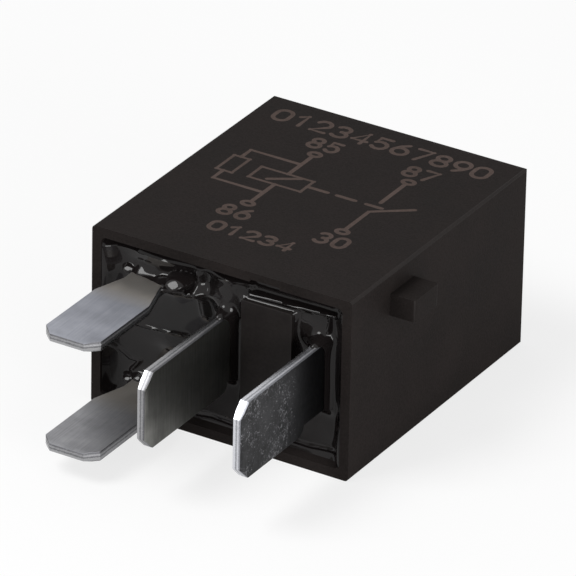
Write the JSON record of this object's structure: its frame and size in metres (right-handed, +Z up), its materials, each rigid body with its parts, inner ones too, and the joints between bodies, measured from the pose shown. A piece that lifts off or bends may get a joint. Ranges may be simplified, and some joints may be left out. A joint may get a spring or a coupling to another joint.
{
  "type": "automotive relay",
  "caption": "Sealed micro relay for a vehicle fuse box: black box case, four flat plated blades, normally open contact.",
  "frame": {"origin": "middle of the underside of the case, on which the relay lies", "axes": "+Z up through the marked face, -Y out along the blades, +X to the side with the key lug"},
  "size_m": [0.0247, 0.0372, 0.015],
  "materials": {
    "cover_plastic": "moulded black PBT, fine matte texture",
    "base_plastic": "moulded black PBT",
    "epoxy": "glossy cured potting",
    "tin_plate": "copper alloy with a bright tin plate",
    "iron": "annealed relay iron, nickel flashed",
    "bobbin_plastic": "moulded natural polyamide",
    "winding": "enamelled copper wire",
    "resistor_coat": "lacquered film resistor",
    "tinned_wire": "tinned copper wire",
    "spring_bronze": "rolled bronze strip",
    "rivet_steel": "cold formed steel",
    "contact_silver": "silver alloy, pressed",
    "stop_brass": "stamped brass strip"
  },
  "bodies": {
    "case": {"cover": "cover_plastic", "base": "base_plastic", "potting": "epoxy", "terminal_85": "tin_plate", "terminal_86": "tin_plate", "terminal_30": "tin_plate", "terminal_87": "tin_plate", "yoke": "iron", "core": "iron", "bobbin": "bobbin_plastic", "coil": "winding", "coil_lead_85": "winding", "coil_lead_86": "winding", "resistor": "resistor_coat", "resistor_lead_85": "tinned_wire", "resistor_lead_86": "tinned_wire", "yoke_rivets": "rivet_steel", "fixed_contact": "contact_silver", "backstop": "stop_brass"},
    "armature": {"armature": "iron", "armature_rivets": "rivet_steel", "moving_contact": "contact_silver", "spring": "spring_bronze"}
  },
  "joints": [
    {"name": "armature_hinge", "type": "hinge", "parent": "case", "child": "armature", "pos_m": [-0.00935, 0.00847, 0.0075], "axis": [0, 0, -1], "range_deg": [0, 3], "stiffness_Nm_per_rad": 0.02, "springref_deg": -5.73, "deforming": ["spring"]}
  ]
}
